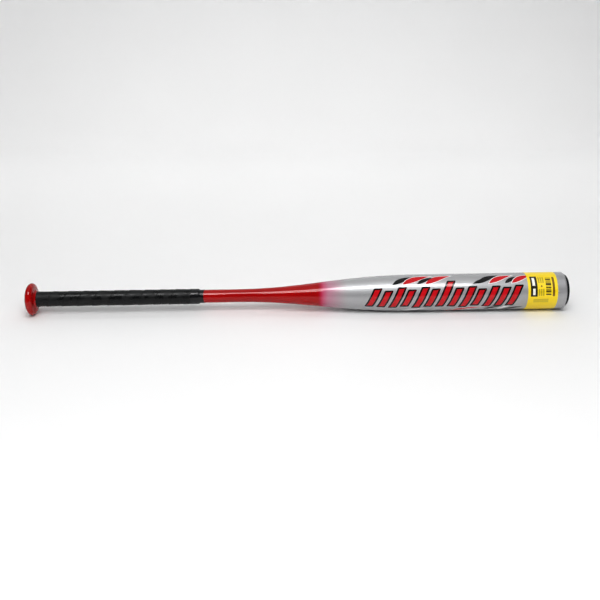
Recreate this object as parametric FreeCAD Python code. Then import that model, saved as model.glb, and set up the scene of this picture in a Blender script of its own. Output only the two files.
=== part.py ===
import FreeCAD, Part
import math
import os

# A hollow aluminium softball bat, built as the pieces that it comes apart into.
# The bat lies along +X. X = 0 is the flat end face of the knob, the Y and Z origin is
# the bat's own axis, and every length below is in millimetres.

# ---- the bat as a whole ----
overall_length = 837.5          # knob's end face to the crown of the end cap
barrel_diameter = 57.15         # two and a quarter inches
handle_diameter = 20.3          # bare tube under the grip

# ---- the tube: one seamless swaged piece ----
handle_wall = 2.8
barrel_wall = 2.5
taper_start = 322.0             # where the straight handle begins to swell
taper_length = 282.0
taper_handle_reach = 110.0      # how softly the taper leaves the handle
taper_barrel_reach = 126.0      # how softly it runs into the barrel
end_corner_radius = 3.5         # outside radius of the rolled-in end of the barrel

# ---- the knob ----
knob_diameter = 50.0
knob_face_diameter = 26.0       # flat land on the end face
knob_rim_plane = 7.3            # where the knob is widest
knob_back_plane = 12.5          # back of the rim
knob_back_diameter = 35.0       # where the rim's rounding ends on that back
knob_length = 17.0              # end face to the end of the flared neck
knob_neck_wall = 1.3            # metal left over the tube at the end of the neck
knob_socket_floor = 5.0         # metal between the end face and the end of the tube
knob_seat_clearance = 0.05      # radial, tube in socket
vent_diameter = 8.0             # hole that lets air out while the knob is welded on
plug_head_diameter = 14.0
plug_head_thickness = 1.6
plug_tail_length = 4.0          # how far the plug reaches past the socket floor
weld_length = 1.5               # ground weld bead between neck and tube
weld_toe_height = 0.5           # height of the bead where the grip butts against it

# ---- the grip ----
base_tape_thickness = 0.25      # double-sided cloth tape on the tube
wrap_thickness = 1.2            # leather strip at its average thickness
wrap_end = 264.0                # where the wound strip ends
base_tape_end_margin = 2.0      # how far the base tape stops short of each end of the strip
finish_tape_start = 252.0
finish_tape_end = 274.0
finish_tape_thickness = 0.25
finish_tape_slope = 3.5         # length over which it steps down from strip to tube
damper_start = 24.0             # foam plug that quietens the handle
damper_length = 40.0

# ---- the barrel's end ----
cap_crown = 5.0                 # how far the cap's face stands past the rolled lip
cap_face_bulge = 0.8            # how much the face is domed between its centre and its rim
cap_rim_round = 2.5             # rounding between the face and the cap's side
cap_clearance = 0.15            # radial, cap's neck in the mouth
cap_glue_gap = 0.35             # radial, cap's flange inside the barrel, filled with adhesive
cap_flange_thickness = 4.0
cap_skirt_length = 14.0
cap_skirt_wall = 2.2
cap_skirt_gap = 3.0             # radial, skirt inside the barrel
cap_face_thickness = 3.0
cap_rib_count = 6
cap_rib_thickness = 2.0
barrel_foam_length = 30.0
barrel_foam_gap = 1.0           # axial, foam disc behind the skirt

# ---- the paper label round the barrel ----
label_width = 46.0
label_end_gap = 15.5            # from the label's edge to the lip of the barrel
label_thickness = 0.15

# ---- worked out from the sizes above ----
handle_radius = handle_diameter / 2
handle_bore_radius = handle_radius - handle_wall
barrel_radius = barrel_diameter / 2
barrel_bore_radius = barrel_radius - barrel_wall
barrel_start = taper_start + taper_length
lip_plane = overall_length - cap_crown
mouth_radius = barrel_radius - end_corner_radius
knob_radius = knob_diameter / 2
knob_neck_radius = handle_radius + knob_neck_wall
grip_start = knob_length + weld_length
wrap_inner_radius = handle_radius + base_tape_thickness
wrap_radius = wrap_inner_radius + wrap_thickness

CIRCLE_HANDLE = 0.5523          # Bezier handle length, as a share, that draws a quarter circle


def point(x, r):
    """A point of a half section: x along the bat, r out from its axis."""
    return FreeCAD.Vector(x, r, 0)


def straight(*stops):
    """Straight edges through (x, r) stops."""
    places = [point(*stop) for stop in stops]
    return [Part.makeLine(a, b) for a, b in zip(places, places[1:])]


def bezier(*poles):
    """One Bezier edge with the given (x, r) poles."""
    curve = Part.BezierCurve()
    curve.setPoles([point(*pole) for pole in poles])
    return curve.toShape()


def rounded(start, corner, end):
    """A quarter of an ellipse from start to end, tangent to both sides of the corner."""
    first = [a + (c - a) * CIRCLE_HANDLE for a, c in zip(start, corner)]
    second = [b + (c - b) * CIRCLE_HANDLE for b, c in zip(end, corner)]
    return bezier(start, first, second, end)


def turned(edges):
    """The solid that a closed half section makes when it is turned about the bat's axis."""
    section = Part.Face(Part.Wire(Part.__sortEdges__(edges)))
    solid = section.revolve(FreeCAD.Vector(0, 0, 0), FreeCAD.Vector(1, 0, 0), 360)
    return solid if solid.Volume > 0 else solid.reversed()


def sleeve(start, end, inner_radius, outer_radius):
    """A plain tube between two stations, or a rod where inner_radius is 0."""
    place = FreeCAD.Vector(start, 0, 0)
    along = FreeCAD.Vector(1, 0, 0)
    rod = Part.makeCylinder(outer_radius, end - start, place, along)
    if inner_radius == 0:
        return rod
    return rod.cut(Part.makeCylinder(inner_radius, end - start, place, along))


def taper_edge(low_radius, high_radius):
    """The S-shaped swell from handle to barrel, between two radii."""
    return bezier(
        (taper_start, low_radius),
        (taper_start + taper_handle_reach, low_radius),
        (barrel_start - taper_barrel_reach, high_radius),
        (barrel_start, high_radius),
    )


def bat_shell():
    """Handle, taper and barrel in one tube, with its end rolled in to hold the cap."""
    corner_start = lip_plane - end_corner_radius
    lip_back = lip_plane - barrel_wall
    edges = straight((knob_socket_floor, handle_radius), (taper_start, handle_radius))
    edges += [taper_edge(handle_radius, barrel_radius)]
    edges += straight((barrel_start, barrel_radius), (corner_start, barrel_radius))
    edges += [rounded((corner_start, barrel_radius), (lip_plane, barrel_radius),
                      (lip_plane, mouth_radius))]
    edges += straight((lip_plane, mouth_radius), (lip_back, mouth_radius))
    edges += [rounded((lip_back, mouth_radius), (lip_back, barrel_bore_radius),
                      (corner_start, barrel_bore_radius))]
    edges += straight((corner_start, barrel_bore_radius), (barrel_start, barrel_bore_radius))
    edges += [taper_edge(handle_bore_radius, barrel_bore_radius)]
    edges += straight((taper_start, handle_bore_radius), (knob_socket_floor, handle_bore_radius),
                      (knob_socket_floor, handle_radius))
    return turned(edges)


def knob():
    """Forged knob: flat land, full round rim, and a flared neck with a socket for the tube."""
    face_radius = knob_face_diameter / 2
    back_radius = knob_back_diameter / 2
    head_radius = plug_head_diameter / 2
    vent_radius = vent_diameter / 2
    socket_radius = handle_radius + knob_seat_clearance
    edges = straight((0, head_radius), (0, face_radius))
    edges += [rounded((0, face_radius), (0, knob_radius), (knob_rim_plane, knob_radius))]
    edges += [rounded((knob_rim_plane, knob_radius), (knob_back_plane, knob_radius),
                      (knob_back_plane, back_radius))]
    edges += [rounded((knob_back_plane, back_radius), (knob_back_plane, knob_neck_radius),
                      (knob_length, knob_neck_radius))]
    edges += straight((knob_length, knob_neck_radius), (knob_length, socket_radius),
                      (knob_socket_floor, socket_radius), (knob_socket_floor, vent_radius),
                      (plug_head_thickness, vent_radius), (plug_head_thickness, head_radius),
                      (0, head_radius))
    return turned(edges)


def knob_weld():
    """The weld bead, ground to a smooth slope from the knob's neck to the tube."""
    return turned(straight(
        (knob_length, handle_radius), (knob_length, knob_neck_radius),
        (grip_start, handle_radius + weld_toe_height), (grip_start, handle_radius),
        (knob_length, handle_radius)))


def knob_plug():
    """Plastic plug with a flush head, which closes the vent hole in the knob."""
    head = sleeve(0, plug_head_thickness, 0, plug_head_diameter / 2)
    tail_end = knob_socket_floor + plug_tail_length
    return head.fuse(sleeve(0, tail_end, 0, vent_diameter / 2)).removeSplitter()


def handle_damper():
    """Foam plug pushed up the handle's bore, which takes the ring out of the tube."""
    return sleeve(damper_start, damper_start + damper_length, 0, handle_bore_radius)


def grip_base_tape():
    """Double-sided cloth tape that the leather strip is wound onto."""
    start = grip_start + base_tape_end_margin
    end = wrap_end - base_tape_end_margin
    return sleeve(start, end, handle_radius, wrap_inner_radius)


def grip_wrap():
    """The wound leather strip as one plain sleeve, closed down to the tube at both ends."""
    start_step = grip_start + base_tape_end_margin
    end_step = wrap_end - base_tape_end_margin
    return turned(straight(
        (grip_start, handle_radius), (grip_start, wrap_radius), (wrap_end, wrap_radius),
        (wrap_end, handle_radius), (end_step, handle_radius), (end_step, wrap_inner_radius),
        (start_step, wrap_inner_radius), (start_step, handle_radius),
        (grip_start, handle_radius)))


def finishing_tape():
    """Stretch tape that covers the strip's cut end and steps down to the bare tube."""
    tape_on_wrap = wrap_radius + finish_tape_thickness
    tape_on_tube = handle_radius + finish_tape_thickness
    return turned(straight(
        (finish_tape_start, wrap_radius), (finish_tape_start, tape_on_wrap),
        (wrap_end + finish_tape_thickness, tape_on_wrap),
        (wrap_end + finish_tape_slope, tape_on_tube), (finish_tape_end, tape_on_tube),
        (finish_tape_end, handle_radius), (wrap_end, handle_radius), (wrap_end, wrap_radius),
        (finish_tape_start, wrap_radius)))


def cap_planes():
    """Stations of the cap: front and back of its flange, and the end of its skirt."""
    flange_front = lip_plane - end_corner_radius
    flange_back = flange_front - cap_flange_thickness
    return flange_front, flange_back, flange_back - cap_skirt_length


def cap_radii():
    """Radii of the cap: neck in the mouth, flange behind the lip, skirt outside and inside."""
    flange = barrel_bore_radius - cap_glue_gap
    skirt = barrel_bore_radius - cap_skirt_gap
    return mouth_radius - cap_clearance, flange, skirt, skirt - cap_skirt_wall


def end_cap():
    """Moulded cap: domed face, neck through the mouth, flange behind the lip, ribbed skirt."""
    flange_front, flange_back, skirt_end = cap_planes()
    neck_radius, flange_radius, skirt_radius, skirt_bore = cap_radii()
    face_back = lip_plane - cap_face_thickness
    face_radius = neck_radius - cap_rim_round
    rim_start = overall_length - cap_face_bulge
    bulge_radius = (face_radius ** 2 + cap_face_bulge ** 2) / (2 * cap_face_bulge)
    half_angle = math.asin(face_radius / bulge_radius) / 2
    bulge_middle = point(overall_length - bulge_radius * (1 - math.cos(half_angle)),
                         bulge_radius * math.sin(half_angle))
    bulge = Part.Arc(point(overall_length, 0), bulge_middle, point(rim_start, face_radius))
    edges = [bulge.toShape()]
    edges.append(rounded((rim_start, face_radius), (rim_start, neck_radius),
                         (rim_start - cap_rim_round, neck_radius)))
    edges += straight(
        (rim_start - cap_rim_round, neck_radius), (flange_front, neck_radius),
        (flange_front, flange_radius), (flange_back, flange_radius),
        (flange_back, skirt_radius), (skirt_end, skirt_radius), (skirt_end, skirt_bore),
        (face_back, skirt_bore), (face_back, 0), (overall_length, 0))
    cap = turned(edges)
    for number in range(cap_rib_count // 2):
        rib = Part.makeBox(face_back - skirt_end, 2 * skirt_bore, cap_rib_thickness,
                           FreeCAD.Vector(skirt_end, -skirt_bore, -cap_rib_thickness / 2))
        rib.rotate(FreeCAD.Vector(0, 0, 0), FreeCAD.Vector(1, 0, 0), 360 * number / cap_rib_count)
        cap = cap.fuse(rib.common(sleeve(skirt_end, face_back, 0, skirt_bore)))
    return cap.removeSplitter()


def cap_adhesive():
    """Ring of adhesive between the cap's flange and the wall of the barrel."""
    flange_front, flange_back, _ = cap_planes()
    flange_radius = cap_radii()[1]
    return sleeve(flange_back, flange_front, flange_radius, barrel_bore_radius)


def barrel_foam():
    """Foam disc behind the cap, which deadens the sound of the barrel."""
    front = cap_planes()[2] - barrel_foam_gap
    return sleeve(front - barrel_foam_length, front, 0, barrel_bore_radius)


def label_band():
    """Printed paper band stuck round the barrel."""
    end = lip_plane - label_end_gap
    return sleeve(end - label_width, end, barrel_radius, barrel_radius + label_thickness)


PIECES = [
    bat_shell, knob, knob_weld, knob_plug, handle_damper, grip_base_tape, grip_wrap,
    finishing_tape, end_cap, cap_adhesive, barrel_foam, label_band,
]

os.makedirs("parts", exist_ok=True)
for make in PIECES:
    shape = make()
    shape.exportStep(f"parts/{make.__name__}.step")
    box = shape.BoundBox
    print(f"{make.__name__:16s} valid {shape.isValid()}  solids {len(shape.Solids)}  "
          f"x {box.XMin:7.2f} to {box.XMax:7.2f}  r {box.YMax:6.3f}  volume {shape.Volume:9.1f}")
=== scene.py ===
# %% [markdown]
# # A hollow aluminium softball bat
# The real bat is one long tube: a thin handle, a long taper and a fat barrel. A knob is welded
# to its thin end, a moulded cap closes its thick end, and a leather strip is wound round the handle.
# The engineering model already fixes every size, so this lesson adds only the looks: smoother
# turned surfaces, the wound grip, the printed graphics, paint, light and a camera.
# Everything is in metres. The bat lies along X, and the centre of the knob's face is the origin.

# %% Load the fixed model
import math

import bmesh
import bpy
from mathutils import Matrix, Vector, noise
from mathutils.geometry import interpolate_bezier


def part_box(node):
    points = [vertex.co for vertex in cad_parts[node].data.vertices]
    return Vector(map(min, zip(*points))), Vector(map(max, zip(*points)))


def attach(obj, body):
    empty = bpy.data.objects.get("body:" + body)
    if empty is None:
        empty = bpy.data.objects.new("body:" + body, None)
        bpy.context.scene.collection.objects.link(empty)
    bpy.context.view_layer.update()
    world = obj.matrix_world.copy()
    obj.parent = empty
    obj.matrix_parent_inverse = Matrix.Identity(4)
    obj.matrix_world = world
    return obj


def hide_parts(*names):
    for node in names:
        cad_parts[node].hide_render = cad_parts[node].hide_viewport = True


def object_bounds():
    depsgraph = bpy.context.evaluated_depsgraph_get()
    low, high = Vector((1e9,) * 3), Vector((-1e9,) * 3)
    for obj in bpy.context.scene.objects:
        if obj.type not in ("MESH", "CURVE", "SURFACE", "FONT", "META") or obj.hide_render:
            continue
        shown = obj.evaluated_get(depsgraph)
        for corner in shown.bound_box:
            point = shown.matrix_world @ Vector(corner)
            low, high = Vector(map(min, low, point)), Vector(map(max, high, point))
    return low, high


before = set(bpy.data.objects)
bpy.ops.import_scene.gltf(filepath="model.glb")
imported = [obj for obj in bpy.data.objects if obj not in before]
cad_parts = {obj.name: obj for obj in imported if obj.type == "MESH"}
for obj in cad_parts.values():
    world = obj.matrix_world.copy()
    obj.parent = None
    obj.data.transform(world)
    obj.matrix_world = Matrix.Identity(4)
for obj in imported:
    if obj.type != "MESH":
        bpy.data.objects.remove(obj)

cad_low, cad_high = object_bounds()
MM = 0.001
scene = bpy.context.scene
print("bat is", round(cad_high.x - cad_low.x, 4), "m long and", round(2 * cad_high.z, 4), "m across")

# %% [markdown]
# ## Measuring the fixed model
# Every piece of a bat is round, so two numbers place it: how far along the bat it starts and ends,
# and how far its surface is from the axis. A small helper reads the radius at a station from the
# fixed model. A caliper does the same job on the real bat.


# %% Stations and radii read from the model
def radius_of(node, station=None):
    """The largest distance of a node's points from the axis, at one station or over all of it."""
    points = [v.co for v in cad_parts[node].data.vertices]
    near = [p for p in points if station is None or abs(p.x - station) < 0.1 * MM]
    return max(math.hypot(p.y, p.z) for p in near)


tube_start, lip = (corner.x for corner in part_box("bat_shell"))
bat_end = cad_high.x
barrel_radius = radius_of("bat_shell")
handle_radius = radius_of("bat_shell", tube_start)
knob_radius = radius_of("knob")
neck_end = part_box("knob")[1].x
neck_radius = radius_of("knob", neck_end)
plug_radius = radius_of("knob_plug")
wrap_start, wrap_end = (corner.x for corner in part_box("grip_wrap"))
wrap_radius = radius_of("grip_wrap")
wound_on_radius = radius_of("grip_base_tape")
tape_start, tape_end = (corner.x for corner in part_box("finishing_tape"))
tape_radius = radius_of("finishing_tape")
label_start, label_end = (corner.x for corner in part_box("label_band"))
label_radius = radius_of("label_band")
print("barrel radius", round(barrel_radius, 5), "handle radius", round(handle_radius, 5))

# %% [markdown]
# ## The taper as one curve
# The swell from handle to barrel is one smooth S. Drawing it as a Bezier curve with level ends keeps
# it tangent to both straight parts, so no ring shows in a reflection where they meet. The printed
# graphics need the same curve, because they hug the surface, so it is also kept as a lookup.

# %% The S-curve and the surface radius at any station
TAPER_START = 322 * MM
TAPER_END = 604 * MM
HANDLE_REACH = 110 * MM
BARREL_REACH = 126 * MM
TAPER_STOPS = 48


def taper_curve(low_radius, high_radius):
    """Points (x, radius) along the swell, from the handle's end to the barrel's start."""
    poles = [
        Vector((TAPER_START, low_radius, 0)),
        Vector((TAPER_START + HANDLE_REACH, low_radius, 0)),
        Vector((TAPER_END - BARREL_REACH, high_radius, 0)),
        Vector((TAPER_END, high_radius, 0)),
    ]
    return [(p.x, p.y) for p in interpolate_bezier(*poles, TAPER_STOPS)]


outer_taper = taper_curve(handle_radius, barrel_radius)


def surface_radius(x):
    """Radius of the bare tube's outside at a station."""
    if x <= TAPER_START:
        return handle_radius
    for (x0, r0), (x1, r1) in zip(outer_taper, outer_taper[1:]):
        if x <= x1:
            return r0 + (r1 - r0) * (x - x0) / (x1 - x0)
    return barrel_radius


print("radius half way up the taper", round(surface_radius((TAPER_START + TAPER_END) / 2), 5))

# %% [markdown]
# ## Turning a profile
# A lathe makes a round part from a profile. Spin does the same to a chain of edges: it sweeps them
# round the axis, and a full turn merges its last edge into its first. Rounded stretches of the
# profile are quarter ellipses, drawn with Bezier curves. Seams and poles are merged, and then the
# faces are turned outwards, because a spin can leave them inside out.

# %% Helpers that turn profiles into finished pieces
QUARTER = 0.5523          # Bezier handle length that draws a quarter circle
FINE_TURN = 192           # facets round the bat
SHARP_EDGE = math.radians(35)


def quarter(start, corner, end, stops=10):
    """A quarter ellipse between two (x, radius) points, tangent to the sides of the corner."""
    a, c, b = (Vector((*p, 0)) for p in (start, corner, end))
    curve = interpolate_bezier(a, a + (c - a) * QUARTER, b + (c - b) * QUARTER, b, stops)
    return [(p.x, p.y) for p in curve]


def turned(profile, steps=FINE_TURN):
    """A bmesh of a closed (x, radius) profile turned once round the bat's axis."""
    bm = bmesh.new()
    chain = [bm.verts.new((x, -radius, 0)) for x, radius in profile]
    edges = [bm.edges.new(pair) for pair in zip(chain, chain[1:] + chain[:1])]
    bmesh.ops.spin(bm, geom=chain + edges, cent=(0, 0, 0), axis=(1, 0, 0),
                   angle=math.tau, steps=steps, use_merge=True)
    bmesh.ops.remove_doubles(bm, verts=bm.verts, dist=0.001 * MM)
    bmesh.ops.dissolve_degenerate(bm, edges=bm.edges, dist=0.001 * MM)
    bmesh.ops.recalc_face_normals(bm, faces=bm.faces)
    return bm


def angle_of(co):
    """Angle round the bat: 0 faces the viewer, and a quarter turn up is the top."""
    return math.atan2(co.z, -co.y)


def finished(name, bm, materials, replaces=(), sharp=SHARP_EDGE):
    """Turns a bmesh into a piece that rides on the bat and stands for its plain model."""
    mesh = bpy.data.meshes.new(name)
    bm.to_mesh(mesh)
    bm.free()
    mesh.shade_smooth()
    mesh.set_sharp_from_angle(angle=sharp)
    for material in materials:
        mesh.materials.append(material)
    piece = bpy.data.objects.new(name, mesh)
    scene.collection.objects.link(piece)
    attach(piece, "root")
    if replaces:
        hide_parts(*replaces)
    mesh.calc_loop_triangles()
    print(name, len(mesh.loop_triangles), "triangles")
    return piece


# %% [markdown]
# ## Building finishes from nodes
# Each finish is worked out from patterns, with no pictures. Shader arithmetic is easier to read as
# sums, so a small class wraps a node's output and lets Python's operators add the Math nodes. One
# more method adds any other node: its type, then its settings, then what goes into its sockets.


# %% A value in a shader, and a finish that holds its nodes
class Value:
    """One output of a shader node, which can be used in arithmetic."""

    def __init__(self, finish, output):
        self.finish, self.output = finish, output

    def sum(self, operation, *others):
        inputs = dict(enumerate((self, *others)))
        return self.finish.node("ShaderNodeMath", {"operation": operation}, inputs)

    def __add__(self, other):
        return self.sum("ADD", other)

    __radd__ = __add__

    def __mul__(self, other):
        return self.sum("MULTIPLY", other)

    __rmul__ = __mul__

    def __sub__(self, other):
        return self.sum("SUBTRACT", other)

    def __rsub__(self, other):
        return self.finish.node("ShaderNodeMath", {"operation": "SUBTRACT"}, {0: other, 1: self})


class Finish:
    """A material under construction: its patterns, and the surface that they feed."""

    def __init__(self, name):
        self.material = bpy.data.materials.new(name)
        self.material.use_nodes = True
        self.tree = self.material.node_tree
        self.surface = self.tree.nodes["Principled BSDF"]
        self.place = self.node("ShaderNodeTexCoord", {}, {}, "Object")

    def node(self, kind, settings, inputs, output=0):
        made = self.tree.nodes.new(kind)
        for key, value in settings.items():
            setattr(made, key, value)
        self.feed(made, inputs)
        return Value(self, made.outputs[output])

    def feed(self, made, inputs):
        for key, value in inputs.items():
            if isinstance(value, Value):
                self.tree.links.new(value.output, made.inputs[key])
            else:
                made.inputs[key].default_value = value

    def axes(self):
        """The piece's own X, Y and Z as three values."""
        split = self.node("ShaderNodeSeparateXYZ", {}, {"Vector": self.place}).output.node
        return [Value(self, output) for output in split.outputs]

    def stretched(self, scale):
        """Object coordinates scaled differently along each axis."""
        return self.node("ShaderNodeMapping", {"vector_type": "POINT"},
                         {"Vector": self.place, "Scale": scale})

    def noise(self, scale, detail=2.0, where=None):
        """Soft noise from 0 to 1."""
        return self.node("ShaderNodeTexNoise", {},
                         {"Vector": where or self.place, "Scale": scale, "Detail": detail})

    def cells(self, scale, feature="F1"):
        """Distance inside a cell pattern, such as leather grain."""
        return self.node("ShaderNodeTexVoronoi", {"feature": feature},
                         {"Vector": self.place, "Scale": scale}, "Distance")

    def ramp(self, value, start, end, low=0.0, high=1.0):
        """Maps one range smoothly onto another."""
        return self.node("ShaderNodeMapRange", {"interpolation_type": "SMOOTHSTEP"}, {
            "Value": value, "From Min": start, "From Max": end, "To Min": low, "To Max": high})

    def mix(self, share, first, second):
        """A colour between two colours."""
        made = self.node("ShaderNodeMix", {"data_type": "RGBA"}, {}).output.node
        first, second = (c if isinstance(c, Value) else (*c, 1.0) for c in (first, second))
        self.feed(made, {0: share, 6: first, 7: second})
        return Value(self, made.outputs[2])

    def bump(self, height, depth, strength):
        """A surface normal from a height pattern of the given depth in metres."""
        return self.node("ShaderNodeBump", {},
                         {"Height": height, "Distance": depth, "Strength": strength})

    def done(self, **sockets):
        """Feeds the surface's sockets, named with underscores for spaces."""
        self.feed(self.surface, {key.replace("_", " "): value for key, value in sockets.items()})
        return self.material


# %% [markdown]
# ## Paint for the tube
# The handle and taper are sprayed candy red over bright metal, and the barrel is silver flake.
# The painter fades one into the other by hand, with a little magenta haze where they meet, so the
# edge of the fade wanders slightly. Clear lacquer covers all of it and gives the sharp highlight,
# with a faint orange peel as sprayed lacquer has.

# %% Red, magenta haze and silver under lacquer
RED_PAINT = (0.42, 0.004, 0.004)
RED_DEEP = (0.30, 0.002, 0.003)
HAZE_PAINT = (0.45, 0.20, 0.27)
HAZE_EDGE = (0.50, 0.02, 0.11)
SILVER_PAINT = (0.46, 0.46, 0.47)
SILVER_DARK = (0.36, 0.36, 0.37)
RED_ENDS = (449 * MM, 459 * MM)
HAZE_ENDS = (455 * MM, 500 * MM)
FLAKE_SCALE = 2600
LACQUER = {"Coat_Weight": 1.0, "Coat_Roughness": 0.03, "Specular_IOR_Level": 0.0}


def orange_peel(finish):
    """The slight waviness of sprayed lacquer."""
    return finish.bump(finish.noise(260, 1.0), 0.05 * MM, 0.12)


def red_colour(finish):
    """Candy red with the soft cloudiness of a hand-sprayed coat."""
    return finish.mix(finish.noise(14, 3.0), RED_DEEP, RED_PAINT)


def red_lacquer():
    finish = Finish("red_lacquer")
    normal = orange_peel(finish)
    return finish.done(Base_Color=red_colour(finish), Metallic=0.0, Normal=normal,
                       Roughness=finish.ramp(finish.noise(40), 0.3, 0.7, 0.28, 0.36), **LACQUER)


def faded_lacquer():
    finish = Finish("faded_lacquer")
    x = finish.axes()[0] + finish.noise(30, 2.0) * (5 * MM) - 2.5 * MM
    past_red = finish.ramp(x, *RED_ENDS)
    past_haze = finish.ramp(x, *HAZE_ENDS)
    flake = finish.ramp(finish.cells(FLAKE_SCALE), 0.1, 0.7)
    cloud = finish.noise(9, 3.0) * 0.4 + flake * 0.6
    silver = finish.mix(cloud, SILVER_DARK, SILVER_PAINT)
    haze = finish.mix(finish.ramp(x, RED_ENDS[0], RED_ENDS[1] + 8 * MM), HAZE_EDGE, HAZE_PAINT)
    sprayed = finish.mix(past_haze, haze, silver)
    colour = finish.mix(past_red, red_colour(finish), sprayed)
    roughness = finish.ramp(past_haze, 0.0, 1.0, 0.30, 0.40) + flake * 0.05
    return finish.done(Base_Color=colour, Metallic=past_haze * 0.45, Roughness=roughness,
                       Normal=orange_peel(finish), **LACQUER)


red_paint = red_lacquer()
tube_paint = faded_lacquer()
print("paint fades from", round(RED_ENDS[0], 3), "to", round(HAZE_ENDS[1], 3))

# %% [markdown]
# ## The tube
# The real tube is swaged: rollers squeeze a plain pipe into handle and taper, and its open end is
# rolled in to trap the cap. One closed profile, outside and inside, makes the whole wall, so the
# piece is a true shell with real thickness at the lip.

# %% Turn the tube
HANDLE_WALL = 2.8 * MM
BARREL_WALL = 2.5 * MM
END_CORNER = 3.5 * MM
handle_bore = handle_radius - HANDLE_WALL
barrel_bore = barrel_radius - BARREL_WALL
mouth_radius = barrel_radius - END_CORNER
corner_start = lip - END_CORNER
lip_back = lip - BARREL_WALL

outside = [(tube_start, handle_radius)] + outer_taper
outside += quarter((corner_start, barrel_radius), (lip, barrel_radius), (lip, mouth_radius))
inside = [(tube_start, handle_bore)] + taper_curve(handle_bore, barrel_bore)
inside += quarter((corner_start, barrel_bore), (lip_back, barrel_bore), (lip_back, mouth_radius))
finished("bat_tube", turned(outside + inside[::-1]), [tube_paint], ["bat_shell"])

# %% [markdown]
# ## The knob
# The knob stops the hand from sliding off. It is forged with a full round rim and a flared neck,
# pushed onto the tube and welded. The weld is ground smooth and painted over, so it only shows as a
# soft step behind the neck. A black plug closes the hole that let air out during welding.

# %% Turn the knob and its weld
KNOB_FACE = 13 * MM
RIM_PLANE = 7.3 * MM
BACK_PLANE = 12.5 * MM
BACK_RADIUS = 17.5 * MM
SOCKET_FLOOR = tube_start
VENT_RADIUS = 4 * MM
PLUG_HEAD = 1.6 * MM

knob_profile = [(0, plug_radius), (0, KNOB_FACE)]
knob_profile += quarter((0, KNOB_FACE), (0, knob_radius), (RIM_PLANE, knob_radius), 20)[1:]
knob_profile += quarter((RIM_PLANE, knob_radius), (BACK_PLANE, knob_radius),
                        (BACK_PLANE, BACK_RADIUS), 16)[1:]
knob_profile += quarter((BACK_PLANE, BACK_RADIUS), (BACK_PLANE, neck_radius),
                        (neck_end, neck_radius), 14)[1:]
knob_profile += [(neck_end, handle_radius), (SOCKET_FLOOR, handle_radius),
                 (SOCKET_FLOOR, VENT_RADIUS), (PLUG_HEAD, VENT_RADIUS), (PLUG_HEAD, plug_radius)]
finished("knob_turned", turned(knob_profile), [red_paint], ["knob"])

weld_toe = radius_of("knob_weld", wrap_start)
weld_profile = quarter((neck_end, neck_radius), (wrap_start, neck_radius), (wrap_start, weld_toe), 6)
weld_profile += [(wrap_start, handle_radius), (neck_end, handle_radius)]
finished("weld_bead", turned(weld_profile), [red_paint], ["knob_weld"])


# %% [markdown]
# ## Moulded plastic
# The plug and the end cap are black plastic from a mould. The mould's face is spark eroded, which
# leaves a fine even grain, and handling polishes the high spots a little.

# %% Black moulded plastic
def moulded_black(name, base, roughness):
    finish = Finish(name)
    grain = finish.noise(900, 3.0)
    rubbed = finish.ramp(finish.noise(60, 4.0), 0.35, 0.75)
    colour = finish.mix(rubbed, base, tuple(1.8 * c for c in base))
    return finish.done(Base_Color=colour, Roughness=rubbed * -0.12 + roughness,
                       Specular_IOR_Level=0.25, Normal=finish.bump(grain, 0.04 * MM, 0.35))


plug_plastic = moulded_black("plug_plastic", (0.009, 0.009, 0.010), 0.50)
cap_plastic = moulded_black("cap_plastic", (0.009, 0.011, 0.012), 0.45)

# %% [markdown]
# ## The plug in the knob
# The plug's head sits flush in its recess, and its edge is broken so that it drops in easily.
# A shallow dish in the middle is where the mould's gate was trimmed.

# %% Turn the plug
PLUG_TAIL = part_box("knob_plug")[1].x
PLUG_EDGE = 0.4 * MM
DISH_RADIUS = 2.5 * MM
DISH_DEPTH = 0.5 * MM
plug_profile = [(DISH_DEPTH, 0)]
plug_profile += quarter((DISH_DEPTH, DISH_RADIUS / 2), (0, DISH_RADIUS / 2), (0, DISH_RADIUS), 6)
plug_profile += quarter((0, plug_radius - PLUG_EDGE), (0, plug_radius), (PLUG_EDGE, plug_radius), 6)
plug_profile += [(PLUG_HEAD, plug_radius), (PLUG_HEAD, VENT_RADIUS), (PLUG_TAIL, VENT_RADIUS),
                 (PLUG_TAIL, 0)]
finished("plug_turned", turned(plug_profile), [plug_plastic], ["knob_plug"])

# %% [markdown]
# ## The end cap
# The cap snaps in behind the rolled lip and is bedded in adhesive. Only its crown shows: a short side,
# a rounded rim and a nearly flat face with a shallow moulded ring. Behind the crown are the neck in
# the bat's mouth, the flange that catches, and a skirt stiffened by ribs.

# %% Turn the cap and add its ribs
CAP_CLEARANCE = 0.15 * MM
CAP_FLANGE = 4 * MM
CAP_SKIRT_WALL = 2.2 * MM
CAP_SKIRT_GAP = 3 * MM
CAP_FACE = 3 * MM
CAP_BULGE = 0.8 * MM
CAP_RIM = 2.5 * MM
CAP_RIBS = 6
CAP_RIB_WIDTH = 2 * MM
RING_RADIUS = 17 * MM
RING_WIDTH = 1.2 * MM
RING_DEPTH = 0.35 * MM
FACE_STOPS = 60

cap_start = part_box("end_cap")[0].x
flange_radius = radius_of("end_cap")
flange_back = corner_start - CAP_FLANGE
crown_radius = mouth_radius - CAP_CLEARANCE
skirt_radius = barrel_bore - CAP_SKIRT_GAP
skirt_bore = skirt_radius - CAP_SKIRT_WALL
face_radius = crown_radius - CAP_RIM
bulge_radius = (face_radius ** 2 + CAP_BULGE ** 2) / (2 * CAP_BULGE)


def face_x(radius):
    """Station of the cap's face at a distance from the axis, with its moulded ring."""
    across = (radius - RING_RADIUS) / RING_WIDTH
    groove = RING_DEPTH * max(0.0, 1 - across * across)
    return bat_end - bulge_radius + math.sqrt(bulge_radius ** 2 - radius ** 2) - groove


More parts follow.
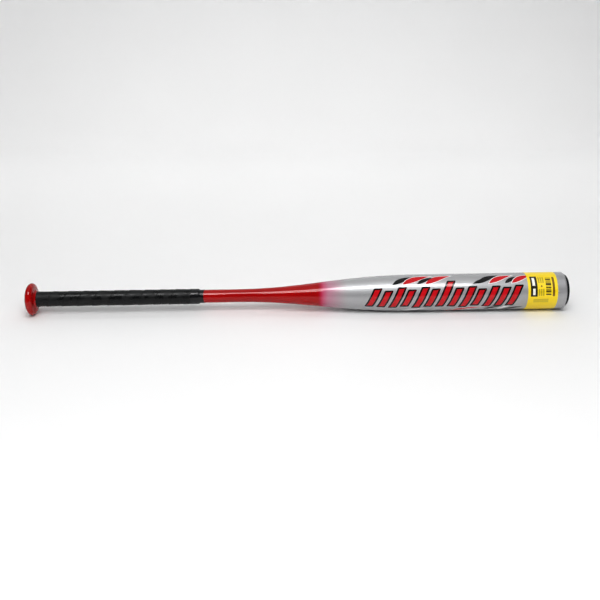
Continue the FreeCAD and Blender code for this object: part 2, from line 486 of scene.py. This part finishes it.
rim_start = bat_end - CAP_BULGE
cap_profile = [(face_x(r), r) for r in (face_radius * i / FACE_STOPS for i in range(FACE_STOPS))]
cap_profile += quarter((rim_start, face_radius), (rim_start, crown_radius),
                       (rim_start - CAP_RIM, crown_radius))
cap_profile += [(corner_start, crown_radius), (corner_start, flange_radius),
                (flange_back, flange_radius), (flange_back, skirt_radius), (cap_start, skirt_radius),
                (cap_start, skirt_bore), (lip - CAP_FACE, skirt_bore), (lip - CAP_FACE, 0)]
cap_mesh = turned(cap_profile)
rib_length = lip - CAP_FACE - cap_start
for number in range(CAP_RIBS // 2):
    rib_place = (Matrix.Translation((cap_start + rib_length / 2, 0, 0))
                 @ Matrix.Rotation(math.tau * number / CAP_RIBS, 4, "X")
                 @ Matrix.Diagonal((rib_length, 2 * skirt_bore, CAP_RIB_WIDTH, 1)))
    bmesh.ops.create_cube(cap_mesh, size=1, matrix=rib_place)
finished("cap_moulded", cap_mesh, [cap_plastic], ["end_cap"])


# %% [markdown]
# ## Leather for the grip
# The strip is synthetic leather: a soft black skin with a fine pebbled grain, slightly shiny where it
# is stretched over the lap beneath and duller in the creases. Two cell patterns, one fine and one
# coarse, give the pebbles, and a slow noise makes some patches shinier than others.

# %% Black pebbled leather
def grip_leather():
    finish = Finish("grip_leather")
    pebbles = finish.cells(1100)
    wrinkles = finish.cells(330, "F2")
    patches = finish.noise(70, 3.0)
    height = pebbles * 0.6 + wrinkles * 0.7 + finish.noise(2400, 2.0) * 0.2
    colour = finish.mix(finish.ramp(patches, 0.3, 0.7), (0.005, 0.0055, 0.006), (0.013, 0.0135, 0.014))
    return finish.done(Base_Color=colour, Specular_IOR_Level=0.35,
                       Roughness=finish.ramp(patches, 0.40, 0.60, 0.26, 0.50),
                       Normal=finish.bump(height, 0.10 * MM, 0.55))


leather = grip_leather()

# %% [markdown]
# ## Winding the grip
# The strip is wound from the knob up the handle, each lap covering the edge of the last, so the grip
# has a raised edge that runs round it like a screw thread. Spin can also travel while it turns, so
# one closed cross-section of the strip, swept that way, winds the whole grip. It starts before the
# knob and runs on past the end, and two plane cuts then trim it square, just as a knife does.

# %% Sweep the strip along its screw path and trim it
LAP_PITCH = 23.6 * MM
LAP_STEPS = 72
STRIP_HEIGHT = wrap_radius - wound_on_radius
FIRST_LAP = 1.4 * LAP_PITCH
STRIP_SHARP_EDGE = math.radians(50)
# Millimetres across the strip, and the height above the tape as a share of the strip's height
strip_outer = [(0.0, 0.90), (0.3, 1.13), (1.2, 1.22), (2.6, 1.25), (5.0, 1.17), (8.0, 1.08),
               (14.0, 1.00), (20.0, 0.95), (23.6, 0.88), (26.0, 0.58), (27.8, 0.20)]
strip_inner = [(27.8, 0.02), (6.4, 0.02), (4.4, 0.22), (2.2, 0.64), (0.0, 0.885)]
laps = math.ceil((wrap_end - wrap_start) / LAP_PITCH) + 2
strip = bmesh.new()
section = [strip.verts.new((wrap_start - FIRST_LAP + x * MM, -(wound_on_radius + h * STRIP_HEIGHT), 0))
           for x, h in strip_outer + strip_inner]
section_edges = [strip.edges.new(pair) for pair in zip(section, section[1:] + section[:1])]
bmesh.ops.spin(strip, geom=section + section_edges, cent=(0, 0, 0), axis=(1, 0, 0),
               dvec=(LAP_PITCH / LAP_STEPS, 0, 0), angle=-math.tau * laps, steps=LAP_STEPS * laps)
bmesh.ops.holes_fill(strip, edges=[e for e in strip.edges if e.is_boundary], sides=0)
for cut_x, outwards in ((wrap_start, -1), (wrap_end, 1)):
    everything = strip.verts[:] + strip.edges[:] + strip.faces[:]
    cut = bmesh.ops.bisect_plane(strip, geom=everything, dist=0.001 * MM, plane_co=(cut_x, 0, 0),
                                 plane_no=(outwards, 0, 0), clear_outer=True)
    rim = [e for e in cut["geom_cut"] if isinstance(e, bmesh.types.BMEdge)]
    bmesh.ops.holes_fill(strip, edges=rim, sides=0)
bmesh.ops.recalc_face_normals(strip, faces=strip.faces)
bmesh.ops.triangulate(strip, faces=[f for f in strip.faces if len(f.verts) > 4])
print("strip is swept over", laps, "laps of", round(math.tau * wrap_radius, 3), "m, then trimmed")

# %% [markdown]
# A hand never winds a strip perfectly evenly. Low, slow noise makes the grip a little fatter here
# and thinner there, by about a tenth of a millimetre, which is enough to break up its highlight.

# %% Uneven hand tension
TENSION = 0.14 * MM
TENSION_SCALE = 60
for vert in strip.verts:
    out = Vector((0, vert.co.y, vert.co.z))
    if out.length > wound_on_radius + 0.5 * STRIP_HEIGHT:
        vert.co += out.normalized() * noise.noise(vert.co * TENSION_SCALE) * TENSION
finished("grip_strip", strip, [leather], ["grip_wrap"], STRIP_SHARP_EDGE)


# %% [markdown]
# The strip's first turn is stretched over the weld and up the knob's flared neck, where it thins to
# nothing. That part isn't a screw shape, so it is turned separately: the flare's own curve, lifted by
# the strip's thickness and fading into the metal at its edge.

# %% Turn the strip's collar on the flare
COLLAR_SHARE = 0.75
COLLAR_LIFT = 0.9 * MM
COLLAR_RISE = 3           # the collar reaches its full thickness after a third of its length
COLLAR_REACH = 0.4 * MM   # how far the collar runs onto the first lap
COLLAR_STEP = 0.1 * MM    # and how far it stands above it there
flare = quarter((BACK_PLANE, BACK_RADIUS), (BACK_PLANE, neck_radius), (neck_end, neck_radius), 14)
collar_under = flare[int(COLLAR_SHARE * len(flare)):]
collar_over = []
for stop, (x, r) in enumerate(collar_under):
    share = stop / (len(collar_under) - 1)
    lift = COLLAR_LIFT * math.sin(math.pi / 2 * min(1.0, COLLAR_RISE * share))
    collar_over.append((x + lift * 0.5 * (1 - share), r + lift * (0.5 + 0.3 * share)))
collar_over.append((wrap_start + COLLAR_REACH, wrap_radius + COLLAR_STEP))
collar_under.append((wrap_start, weld_toe))
finished("grip_collar", turned(collar_under + collar_over[::-1]), [leather])

# %% [markdown]
# ## Finishing tape
# Glossy black stretch tape closes the top of the grip. It is pulled tight over the end of the strip
# and down onto the bare tube, so it has a step, fine stretch lines round the bat, and a few folds
# where the step pinches it. Its end is torn at a slant, so its edge wanders round the handle.

# %% Stretch tape
def stretch_tape():
    finish = Finish("stretch_tape")
    lines = finish.noise(1, 3.0, where=finish.stretched((900, 60, 60)))
    puckers = finish.noise(220, 2.0)
    colour = finish.mix(lines, (0.006, 0.006, 0.007), (0.013, 0.013, 0.015))
    return finish.done(Base_Color=colour, Roughness=finish.ramp(puckers, 0.3, 0.7, 0.12, 0.24),
                       Normal=finish.bump(lines + puckers, 0.05 * MM, 0.5))


TAPE_ROWS = 44
TAPE_TURN = 144           # facets round the tape
TAPE_THICKNESS = tape_radius - wrap_radius
STEP_LENGTH = 3.6 * MM
TAPE_SUNK = 0.3 * MM      # how far the tape's inside presses into the strip
FOLD_DEPTH = 0.16 * MM
FOLD_REACH = 3 * MM       # how far the folds spread from the middle of the step
FOLDS_ALONG = 150
FOLDS_ROUND = 420
LEVEL_FOLDS = 0.25        # share of the folds that is left away from the step
SLANT = 1.6 * MM
SLANT_TURN = 1.9          # radians round the handle to where the slant is zero
step_end = wrap_end + STEP_LENGTH


def tape_outside(x):
    """Radius of the tape's outside: level on the grip, an S down the step, level on the tube."""
    share = min(1.0, max(0.0, (x - wrap_end) / STEP_LENGTH))
    eased = share * share * (3 - 2 * share)
    return tape_radius + (handle_radius + TAPE_THICKNESS - tape_radius) * eased


tape_stations = [tape_start + (tape_end - tape_start) * i / TAPE_ROWS for i in range(TAPE_ROWS + 1)]
tape_profile = [(x, tape_outside(x)) for x in tape_stations]
tape_profile += [(tape_end, handle_radius), (wrap_end, handle_radius),
                 (wrap_end, wrap_radius - TAPE_SUNK), (tape_start, wrap_radius - TAPE_SUNK)]
tape_mesh = turned(tape_profile, TAPE_TURN)
for vert in tape_mesh.verts:
    out = Vector((0, vert.co.y, vert.co.z))
    if out.length > tape_outside(vert.co.x) - 0.01 * MM:
        on_step = math.exp(-((vert.co.x - step_end + STEP_LENGTH / 2) / FOLD_REACH) ** 2)
        ripple = noise.noise(Vector((vert.co.x * FOLDS_ALONG, vert.co.y * FOLDS_ROUND,
                                     vert.co.z * FOLDS_ROUND)))
        vert.co += out.normalized() * ripple * FOLD_DEPTH * (LEVEL_FOLDS + on_step)
    past_step = max(0.0, (vert.co.x - step_end) / (tape_end - step_end))
    vert.co.x += past_step * SLANT * math.sin(angle_of(vert.co) - SLANT_TURN)
finished("stretch_tape_wrap", tape_mesh, [stretch_tape()], ["finishing_tape"])


# %% [markdown]
# ## The paper label
# A printed paper band is stuck round the barrel near its end, and its ends overlap at the back. The
# paper is coated, so it has a soft shine, and it is yellow all over with the printing on top.

# %% Yellow coated paper
def coated_paper(name, colour, deeper):
    finish = Finish(name)
    fibres = finish.noise(1, 4.0, where=finish.stretched((500, 2600, 2600)))
    aged = finish.noise(22, 3.0)
    return finish.done(Base_Color=finish.mix(aged * 0.6 + fibres * 0.4, deeper, colour),
                       Roughness=finish.ramp(fibres, 0.3, 0.7, 0.30, 0.42),
                       Normal=finish.bump(fibres, 0.02 * MM, 0.3),
                       Coat_Weight=0.35, Coat_Roughness=0.15)


LABEL_OVERLAP = (math.radians(168), math.radians(180))
label_paper = coated_paper("label_paper", (0.90, 0.72, 0.02), (0.78, 0.56, 0.012))
label_thickness = label_radius - barrel_radius
label_mesh = turned([(label_start, barrel_radius), (label_start, label_radius),
                     (label_end, label_radius), (label_end, barrel_radius)])
for vert in label_mesh.verts:
    if LABEL_OVERLAP[0] <= angle_of(vert.co) <= LABEL_OVERLAP[1]:
        vert.co += Vector((0, vert.co.y, vert.co.z)).normalized() * label_thickness
finished("label_paper_band", label_mesh, [label_paper], ["label_band"])


# %% [markdown]
# ## Printing on a curved surface
# The graphics are transfers: thin inked film laid on the barrel and lacquered over. Each one is drawn
# flat, along the bat and up its side, then cut into narrow strips and rolled onto the surface, as the
# real film is. An outline comes from insetting the drawn face: the ring that is left round it takes
# the outline's ink. Layers sit hundredths of a millimetre apart, as inks do.

# %% Draw flat, outline, and roll onto the bat
FILM = 0.03 * MM
STRIP_CUT = 1.0 * MM
LENGTH_CUT = 8.0 * MM


def drawn(outline, corner=0.0, slant=0.0):
    """A flat face from (along, up) points in mm, with rounded corners and a lean."""
    bm = bmesh.new()
    bm.faces.new([bm.verts.new((x * MM, y * MM, 0)) for x, y in outline])
    if corner:
        bmesh.ops.bevel(bm, geom=bm.verts[:], offset=corner * MM, segments=3, profile=0.5,
                        affect="VERTICES", material=-1)
    lean = Matrix(((1, math.tan(math.radians(slant)), 0, 0), (0, 1, 0, 0), (0, 0, 1, 0),
                   (0, 0, 0, 1)))
    bmesh.ops.transform(bm, matrix=lean, verts=bm.verts)
    bmesh.ops.recalc_face_normals(bm, faces=bm.faces)
    return bm


def outlined(bm, width, ink):
    """Insets the face by a width in mm and gives the ring round it the outline's ink."""
    bm.normal_update()
    ring = bmesh.ops.inset_region(bm, faces=bm.faces[:], thickness=width * MM, use_boundary=True,
                                  use_even_offset=True)["faces"]
    for face in ring:
        face.material_index = ink
    return bm


def rolled(bm, layer=0, base=surface_radius):
    """Cuts flat ink into strips, gives it thickness and rolls it onto the barrel."""
    low = Vector((min(v.co.x for v in bm.verts), min(v.co.y for v in bm.verts), 0))
    high = Vector((max(v.co.x for v in bm.verts), max(v.co.y for v in bm.verts), 0))
    for axis, spacing in ((0, LENGTH_CUT), (1, STRIP_CUT)):
        across = Vector((0, 0, 0))
        across[axis] = 1
        for number in range(math.ceil(low[axis] / spacing), math.ceil(high[axis] / spacing)):
            everything = bm.verts[:] + bm.edges[:] + bm.faces[:]
            bmesh.ops.bisect_plane(bm, geom=everything, dist=0.0001 * MM,
                                   plane_co=across * number * spacing, plane_no=across)
    bmesh.ops.triangulate(bm, faces=bm.faces)
    top = bmesh.ops.extrude_face_region(bm, geom=bm.faces[:])["geom"]
    raised = [v for v in top if isinstance(v, bmesh.types.BMVert)]
    bmesh.ops.translate(bm, verts=raised, vec=(0, 0, FILM))
    bmesh.ops.recalc_face_normals(bm, faces=bm.faces)
    for vert in bm.verts:
        angle = vert.co.y / barrel_radius
        radius = base(vert.co.x) + FILM * (0.5 + layer) + vert.co.z
        vert.co = Vector((vert.co.x, -math.cos(angle) * radius, math.sin(angle) * radius))
    bmesh.ops.recalc_face_normals(bm, faces=bm.faces)
    return bm


# %% [markdown]
# ## Inks
# Printed ink under lacquer is even and glossy, with tiny pinholes and a soft change of density
# where the squeegee pulled. Every ink is the same recipe with another colour.

# %% Ink colours
def ink(name, colour, thin, gloss=LACQUER):
    finish = Finish(name)
    pull = finish.noise(1, 3.0, where=finish.stretched((40, 300, 300)))
    return finish.done(Base_Color=finish.mix(pull, thin, colour),
                       Roughness=finish.ramp(finish.noise(300), 0.3, 0.7, 0.30, 0.40),
                       Normal=orange_peel(finish), **gloss)


PAPER_GLOSS = {"Coat_Weight": 0.35, "Coat_Roughness": 0.15}
red_ink = ink("red_ink", (0.58, 0.011, 0.020), (0.47, 0.009, 0.016))
black_ink = ink("black_ink", (0.006, 0.006, 0.007), (0.012, 0.012, 0.013))
white_ink = ink("white_ink", (0.88, 0.88, 0.88), (0.80, 0.80, 0.81))
label_black = ink("label_black", (0.010, 0.009, 0.006), (0.025, 0.020, 0.008), PAPER_GLOSS)
label_olive = ink("label_olive", (0.42, 0.34, 0.02), (0.50, 0.40, 0.02), PAPER_GLOSS)
label_white = ink("label_white", (0.85, 0.84, 0.78), (0.76, 0.75, 0.68), PAPER_GLOSS)
label_brown = ink("label_brown", (0.16, 0.08, 0.006), (0.26, 0.16, 0.01), PAPER_GLOSS)

# %% [markdown]
# ## The row of slanted bars along the barrel
# The front of the barrel carries a row of slanted red bars with heavy black outlines. Neighbouring
# bars differ in height and place, so the row has a rhythm but stands for no word. The same set is
# printed again half a turn round, as on most bats, so one shows whichever way the bat lies.

# %% Slanted bars
BAR_WIDTH = 13.5          # millimetres, like every size of a drawn shape
BAR_SPACING = 18
BAR_CORNER = 1.6
BAR_LAYER_STEP = 0.5      # every other bar lies half a film higher
FIRST_BAR = 520
OUTLINE = 2.6
LEAN = 24                 # degrees
SIDES = (0.0, math.pi)


def shifted(bm, along, up, turn=0.0):
    """Moves flat ink along the bat, up its side and round to another side."""
    place = (along * MM, up * MM + turn * barrel_radius, 0)
    bmesh.ops.translate(bm, verts=bm.verts, vec=place)
    return bm


def bar(width, height):
    """The corners of an upright rectangle."""
    return [(0, 0), (width, 0), (width, height), (0, height)]


# up, height
bar_places = [(-15, 33), (-16, 30), (-17, 36), (-14, 29), (-17, 36), (-15, 31), (-15, 44), (-15, 32),
              (-17, 36), (-14, 29), (-17, 36), (-16, 33), (-15, 35)]
for side, turn in enumerate(SIDES):
    for number, (up, height) in enumerate(bar_places):
        slanted = outlined(drawn(bar(BAR_WIDTH, height), BAR_CORNER, LEAN), OUTLINE, 1)
        slanted = shifted(slanted, FIRST_BAR + BAR_SPACING * number, up, turn)
        slanted = rolled(slanted, BAR_LAYER_STEP * (number % 2))
        finished(f"bar_{side}_{number}", slanted, [red_ink, black_ink])

# %% [markdown]
# Each flame stroke is a curved blade: it starts at a point, swells and trails off. Two Bezier curves
# between the same two points draw it, one bowed more than the other.

# %% Flame strokes
BLADE_STOPS = 10
STROKE_LAYERS = 3
STROKE_LAYER_STEP = 0.4


def blade(length, rise, fat):
    """A curved blade from (0, 0) to (length, rise), bowed upwards by fat."""
    a, b = Vector((0, 0, 0)), Vector((length, rise, 0))
    over = interpolate_bezier(a, Vector((length * 0.20, rise * (0.35 + fat), 0)),
                              Vector((length * 0.62, rise, 0)), b, BLADE_STOPS)
    under = interpolate_bezier(b, Vector((length * 0.72, rise * 0.72, 0)),
                               Vector((length * 0.42, rise * 0.02, 0)), a, BLADE_STOPS)
    return [(p.x, p.y) for p in over + under[1:-1]][::-1]


strokes = [
    # along, up, length, rise, fatness, ink, white edge
    (563, 23.0, 34, 15, 0.60, black_ink, 0.0),
    (577, 22.5, 50, 18, 0.75, red_ink, 0.9),
    (601, 23.5, 26, 12, 0.60, black_ink, 0.0),
    (612, 22.5, 46, 18, 0.75, red_ink, 0.9),
    (686, 22.0, 30, 12, 0.25, black_ink, 0.0),
    (694, 23.0, 34, 16, 0.60, black_ink, 0.0),
    (710, 22.0, 42, 17, 0.75, red_ink, 0.9),
    (736, 23.0, 24, 12, 0.60, black_ink, 0.0),
    (745, 22.0, 38, 17, 0.75, red_ink, 0.9),
    (578, -25.5, 38, 6, 0.60, white_ink, 0.5),
    (584, -29.5, 40, 5, 0.60, black_ink, 0.0),
    (655, -25.5, 56, 9, 0.70, red_ink, 0.8),
    (640, -31.5, 50, 8, 0.70, red_ink, 0.8),
    (706, -24.5, 24, 8, 0.60, black_ink, 0.0),
    (726, -24.5, 20, 9, 0.40, white_ink, 0.0),
    (736, -27.0, 30, 9, 0.50, black_ink, 0.0),
]
for side, turn in enumerate(SIDES):
    for number, (along, up, length, rise, fat, colour, edge) in enumerate(strokes):
        stroke = drawn(blade(length, rise, fat))
        if edge:
            outlined(stroke, edge, 1)
        stroke = rolled(shifted(stroke, along, up, turn), STROKE_LAYER_STEP * (number % STROKE_LAYERS))
        finished(f"stroke_{side}_{number}", stroke, [colour, white_ink])

# %% [markdown]
# ## Printing on the label
# The label's small print is left as plain blocks and bars: a black panel with pale strips, two blocks
# of olive lines, a row of bars as a price code has, a thin rule and a pale band.

# %% Label blocks and bars
def on_label(_):
    """The paper's radius, which is the same at every station."""
    return label_radius


def printed(name, pieces, ink_used, layer=0):
    """One printed piece made of several rectangles: along, up, width and height in mm."""
    bm = bmesh.new()
    for along, up, width, height in pieces:
        sheet = drawn(bar(width, height))
        shifted(sheet, along, up)
        part = bpy.data.meshes.new("part")
        sheet.to_mesh(part)
        sheet.free()
        bm.from_mesh(part)
        bpy.data.meshes.remove(part)
    return finished(name, rolled(bm, layer, on_label), [ink_used])


printed("label_panel", [(775.2, 0.8, 10.2, 33.6)], label_black)
printed("label_strips", [(777.9, 17.5, 4.2, 14.0), (778.4, 3.2, 4.0, 10.0)], label_white, 1.5)
printed("label_lines", [(787.4 + 3.2 * i, up, 2.0, height) for i in range(3)
                        for up, height in ((22.0, 10.5), (2.0, 10.5))], label_olive)
printed("label_dot", [(790.8, 15.4, 2.2, 2.6)], label_brown)
CODE_START = 3.0
CODE_GAP = 1.2
bar_heights = (1.6, 0.8, 2.4, 1.0, 1.6, 0.8, 3.0, 1.2, 0.8, 2.2, 0.8)
bars = []
up = CODE_START
for height in bar_heights:
    bars.append((798.6, up, 8.0, height))
    up += height + CODE_GAP
printed("label_bars", bars, label_black)
printed("label_rule", [(808.9, 1.0, 3.4, 32.0)], label_brown)
printed("label_band_lines", [(780.0, -9.0 + 2.2 * i, 23.0, 1.3) for i in range(3)], label_olive)


# %% [markdown]
# ## Pieces inside the bat
# The foam plug, the foam disc, the adhesive and the base tape never show on a whole bat, but they are
# real pieces, so each keeps its plain shape and gets its own finish: open-cell foam, cured adhesive
# and woven cloth tape.

# %% Finishes for the hidden pieces
def foam(name, colour, dark):
    finish = Finish(name)
    pores = finish.cells(700)
    return finish.done(Base_Color=finish.mix(pores, dark, colour), Roughness=0.95,
                       Normal=finish.bump(pores, 0.4 * MM, 0.8))


def cured_adhesive():
    finish = Finish("cured_adhesive")
    clouds = finish.noise(90, 3.0)
    return finish.done(Base_Color=finish.mix(clouds, (0.35, 0.24, 0.08), (0.50, 0.38, 0.16)),
                       Roughness=finish.ramp(clouds, 0.3, 0.7, 0.25, 0.45),
                       Normal=finish.bump(clouds, 0.2 * MM, 0.4))


def cloth_tape():
    finish = Finish("cloth_tape")
    weave = finish.node("ShaderNodeTexWave", {"bands_direction": "X"},
                        {"Vector": finish.place, "Scale": 160, "Distortion": 0.6})
    return finish.done(Base_Color=finish.mix(weave, (0.52, 0.48, 0.38), (0.68, 0.64, 0.54)),
                       Roughness=0.85, Normal=finish.bump(weave, 0.1 * MM, 0.6))


for node, material in {
    "handle_damper": foam("handle_foam", (0.10, 0.10, 0.11), (0.03, 0.03, 0.03)),
    "barrel_foam": foam("barrel_foam", (0.30, 0.30, 0.28), (0.12, 0.12, 0.11)),
    "cap_adhesive": cured_adhesive(),
    "grip_base_tape": cloth_tape(),
}.items():
    piece_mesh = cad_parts[node].data
    piece_mesh.materials.clear()
    piece_mesh.materials.append(material)

# %% [markdown]
# ## Floor
# The bat lies on a white table that sweeps up behind it. A lying bat touches the table in two places,
# the knob's rim and the start of the barrel, because the knob is smaller. The bat keeps its own frame
# here, so the table takes the small tilt instead: the steepest line from the rim to the barrel.

# %% White table that touches knob and barrel
STATION_STEP = 2 * MM
STATIONS = 250
stations = [TAPER_START + STATION_STEP * i for i in range(STATIONS)]
tilt = max((surface_radius(x) - knob_radius) / (x - RIM_PLANE) for x in stations)
TABLE_SIDE = 4.0
TABLE_FRONT = -1.6
TABLE_BACK = 1.3
SWEEP_RADIUS = 0.5
WALL_TOP = 2.4


def table_finish():
    finish = Finish("white_table")
    mottle = finish.noise(3, 4.0)
    return finish.done(Base_Color=finish.mix(mottle, (0.83, 0.83, 0.83), (0.86, 0.86, 0.86)),
                       Roughness=finish.ramp(mottle, 0.3, 0.7, 0.55, 0.65),
                       Normal=finish.bump(finish.noise(180, 2.0), 0.05 * MM, 0.1))


table = bmesh.new()
sweep = [(TABLE_FRONT, 0.0), (TABLE_BACK, 0.0)]
sweep += quarter((TABLE_BACK, 0.0), (TABLE_BACK + SWEEP_RADIUS, 0.0),
                 (TABLE_BACK + SWEEP_RADIUS, SWEEP_RADIUS), 14)[1:]
sweep += [(TABLE_BACK + SWEEP_RADIUS, WALL_TOP)]
row = [table.verts.new((-TABLE_SIDE, y, z)) for y, z in sweep]
sheet = bmesh.ops.extrude_edge_only(table, edges=[table.edges.new(p) for p in zip(row, row[1:])])
far_side = [v for v in sheet["geom"] if isinstance(v, bmesh.types.BMVert)]
bmesh.ops.translate(table, verts=far_side, vec=(2 * TABLE_SIDE, 0, 0))
middle = (tube_start + lip) / 2
height_there = -knob_radius - tilt * (middle - RIM_PLANE)
table_place = (Matrix.Translation((middle, 0, height_there))
               @ Matrix.Rotation(math.atan(tilt), 4, "Y"))
bmesh.ops.transform(table, matrix=table_place, verts=table.verts)
bmesh.ops.recalc_face_normals(table, faces=table.faces)
table_sheet = bpy.data.meshes.new("white_table")
table.to_mesh(table_sheet)
table.free()
table_sheet.shade_smooth()
table_sheet.materials.append(table_finish())
floor = bpy.data.objects.new("white_table", table_sheet)
scene.collection.objects.link(floor)
print("the table tilts by", round(math.degrees(math.atan(tilt)), 3), "degrees")

# %% [markdown]
# ## Light
# A shiny round thing shows its lamps as long highlights, and a white table shows them as light and
# shadow. The two jobs need different lamps, so most of these do only one. A softbox, a narrower strip
# and a dim panel overhead are only seen as reflections. The main lamp, above and in front, casts the
# shadow under the bat. A front fill and a top fill soften it, and two more panels light the table
# behind. A small lamp adds short bright marks on the tape and taper, and a grey room fills what is left.

# %% Lamps for reflections, lamps for the table, and the room
SHINE_SHIFT = -0.10       # the long highlights are centred a little towards the knob
ROOM_COLOUR = (0.95, 0.97, 1.0, 1)
ROOM_STRENGTH = 0.06
GAMMA = 0.8
centre = Vector((middle, 0, 0))


def above(distance, elevation, along=0):
    """A place at a distance from the bat's axis, on the viewer's side, at an elevation in degrees."""
    angle = math.radians(elevation)
    return Vector((middle + along, -distance * math.cos(angle), distance * math.sin(angle)))


def around(y, z, along=0):
    """A place given by its distances from the bat's middle: behind, above and along."""
    return centre + Vector((along, y, z))


def panel(name, place, size, strength, target, diffuse=True, glossy=True, spread=180):
    """A rectangular light at place, turned towards the target. Strength is its radiance, and diffuse
    and glossy say whether it lights matte surfaces and whether it is seen in reflections."""
    lamp = bpy.data.lights.new(name, "AREA")
    lamp.shape = "RECTANGLE"
    lamp.size, lamp.size_y = size
    lamp.energy = strength * size[0] * size[1] * math.pi
    lamp.spread = math.radians(spread)
    light = bpy.data.objects.new(name, lamp)
    light.location = place
    light.rotation_euler = (Vector(target) - Vector(place)).to_track_quat("-Z", "Y").to_euler()
    light.visible_diffuse = diffuse
    light.visible_glossy = glossy
    scene.collection.objects.link(light)


shine_target = around(0, 0, SHINE_SHIFT)
panel("softbox", above(1.6, 65, SHINE_SHIFT), (1.55, 0.55), 4.4, shine_target, diffuse=False)
panel("shine_strip", above(1.58, 65, SHINE_SHIFT), (1.55, 0.45), 4.6, shine_target, diffuse=False)
panel("small_lamp", above(1.6, 50, -0.285), (0.10, 0.08), 30.0, centre)
panel("main_lamp", above(1.6, 58, 0.10), (0.50, 0.25), 14.0, centre, glossy=False)
panel("overhead", around(0.5, 2.6), (3.0, 2.0), 0.6, centre, diffuse=False)
panel("front_fill", above(2.4, 40), (3.0, 1.2), 3.5, centre, glossy=False)
panel("top_fill", around(-1.0, 2.4), (4.0, 2.0), 0.95, centre, glossy=False)
panel("wall_wash", around(0.9, 2.3), (3.5, 0.8), 2.4, around(2.2, 0.4), glossy=False)
panel("back_wash", around(0.95, 2.3), (3.5, 0.2), 1.4, around(1.1, 0), glossy=False, spread=60)

world = bpy.data.worlds.new("grey_room")
world.use_nodes = True
world.node_tree.nodes["Background"].inputs["Color"].default_value = ROOM_COLOUR
world.node_tree.nodes["Background"].inputs["Strength"].default_value = ROOM_STRENGTH
scene.world = world
scene.view_settings.view_transform = "Standard"
scene.view_settings.gamma = GAMMA

# %% [markdown]
# ## Camera
# The viewer is about one and a quarter metres away and looks down by about 21 degrees. The camera is
# turned and rolled by about a degree, as a hand-held one is, and its lens is close to a normal one.

# %% Camera
CAMERA_DISTANCE = 1.25
CAMERA_ELEVATION = math.radians(21)
CAMERA_TURN = math.radians(-1.1)
CAMERA_ROLL = math.radians(-0.61)
AIM = centre + Vector((0.0031, 0, -0.0090))
LENS = 48
SENSOR = 36

back = Vector((math.sin(CAMERA_TURN) * math.cos(CAMERA_ELEVATION),
               -math.cos(CAMERA_TURN) * math.cos(CAMERA_ELEVATION), math.sin(CAMERA_ELEVATION)))
lens = bpy.data.cameras.new("camera")
lens.lens = LENS
lens.sensor_width = SENSOR
camera = bpy.data.objects.new("camera", lens)
camera.location = AIM + back * CAMERA_DISTANCE
facing = (-back).to_track_quat("-Z", "Y").to_matrix()
camera.rotation_euler = (facing @ Matrix.Rotation(CAMERA_ROLL, 3, "Z")).to_euler()
scene.collection.objects.link(camera)
scene.camera = camera
